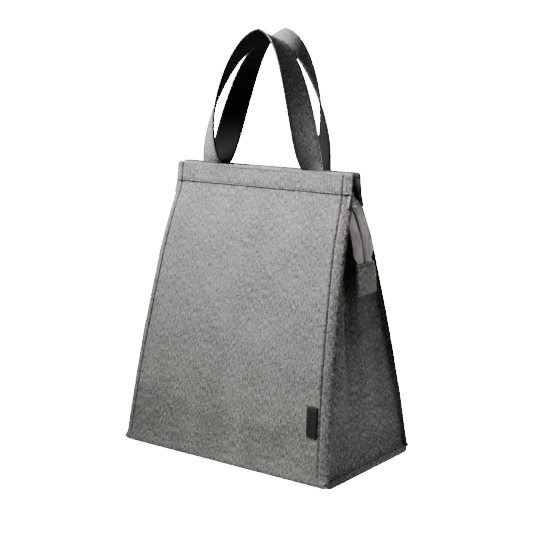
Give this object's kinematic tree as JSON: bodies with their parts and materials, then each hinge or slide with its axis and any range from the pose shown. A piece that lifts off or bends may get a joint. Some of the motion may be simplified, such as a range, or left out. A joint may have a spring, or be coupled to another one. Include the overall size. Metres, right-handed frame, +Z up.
{
  "type": "insulated cooler bag",
  "caption": "Insulated lunch tote with a wide flat base, walls leaning in to a narrow zipped mouth, tucked gussets, a foil-lined foam body and arched carrying handles.",
  "frame": {"origin": "middle of the base, on the floor", "axes": "+X to the bag's right seen from its front, -Y out of the front panel, +Z up"},
  "size_m": [0.249, 0.148, 0.4106],
  "materials": {
    "melange_cloth": "grey melange oxford weave, matt",
    "facing_cloth": "plain grey lining cloth, matt",
    "black_webbing": "black ribbed webbing, matt",
    "label_weave": "plain black woven patch, slight sheen",
    "zip_tape": "light grey smooth nylon tape, slight sheen",
    "zip_coil": "dark moulded coil",
    "zip_metal": "nickel plated, satin",
    "foil": "silver metallised film, crinkled",
    "foam": "white closed-cell foam sheet",
    "board": "black hollow board"
  },
  "bodies": {
    "base": {"base_board": "board", "base_foam": "foam", "base_liner": "foil", "base_panel": "melange_cloth", "base_seam_left": "melange_cloth", "base_seam_right": "melange_cloth", "gusset_cloth_left": "melange_cloth", "gusset_cloth_right": "melange_cloth", "gusset_foam_left": "foam", "gusset_foam_right": "foam", "gusset_liner_left": "foil", "gusset_liner_right": "foil", "zip_end_tab_left": "melange_cloth", "zip_end_tab_right": "melange_cloth", "zip_stop_left": "zip_coil", "zip_stop_right": "zip_coil", "zip_tail_left": "zip_tape", "zip_tail_right": "zip_tape", "zip_tail_teeth_left": "zip_coil", "zip_tail_teeth_right": "zip_coil"},
    "front_wall": {"front_band": "melange_cloth", "front_facing": "facing_cloth", "front_foam": "foam", "front_handle_feet": "melange_cloth", "front_liner": "foil", "front_panel": "melange_cloth", "front_seam_left": "melange_cloth", "front_seam_right": "melange_cloth", "front_zip_tape": "zip_tape", "front_zip_teeth": "zip_coil", "label": "label_weave"},
    "back_wall": {"back_band": "melange_cloth", "back_facing": "facing_cloth", "back_foam": "foam", "back_handle_feet": "melange_cloth", "back_liner": "foil", "back_panel": "melange_cloth", "back_seam_left": "melange_cloth", "back_seam_right": "melange_cloth", "back_zip_tape": "zip_tape", "back_zip_teeth": "zip_coil"},
    "front_handle": {"front_handle_strap": "melange_cloth", "front_handle_lining": "black_webbing"},
    "back_handle": {"back_handle_strap": "melange_cloth", "back_handle_lining": "black_webbing"},
    "zip_slider": {"zip_slider": "zip_metal"},
    "zip_pull": {"zip_pull": "zip_metal"}
  },
  "joints": [
    {"name": "front_wall_open", "type": "hinge", "parent": "base", "child": "front_wall", "pos_m": [0, -0.074, 0.0063], "axis": [1, 0, 0], "range_deg": [0, 8.8]},
    {"name": "back_wall_open", "type": "hinge", "parent": "base", "child": "back_wall", "pos_m": [0, 0.074, 0.0063], "axis": [-1, 0, 0], "range_deg": [0, 8.8]},
    {"name": "front_handle_fold", "type": "hinge", "parent": "front_wall", "child": "front_handle", "pos_m": [0, -0.0083, 0.2803], "axis": [1, 0, 0], "range_deg": [0, 135]},
    {"name": "back_handle_fold", "type": "hinge", "parent": "back_wall", "child": "back_handle", "pos_m": [0, 0.0083, 0.2803], "axis": [-1, 0, 0], "range_deg": [0, 135]},
    {"name": "zip_slide", "type": "slide", "parent": "base", "child": "zip_slider", "axis": [1, 0, 0], "range_m": [0, 0.172]},
    {"name": "zip_pull_flip", "type": "hinge", "parent": "zip_slider", "child": "zip_pull", "pos_m": [-0.086, 0, 0.2506], "axis": [0, -1, 0], "range_deg": [0, 180]}
  ],
  "couplings": [
    {"joint": "back_wall_open", "follows": "front_wall_open", "ratio": 1}
  ]
}
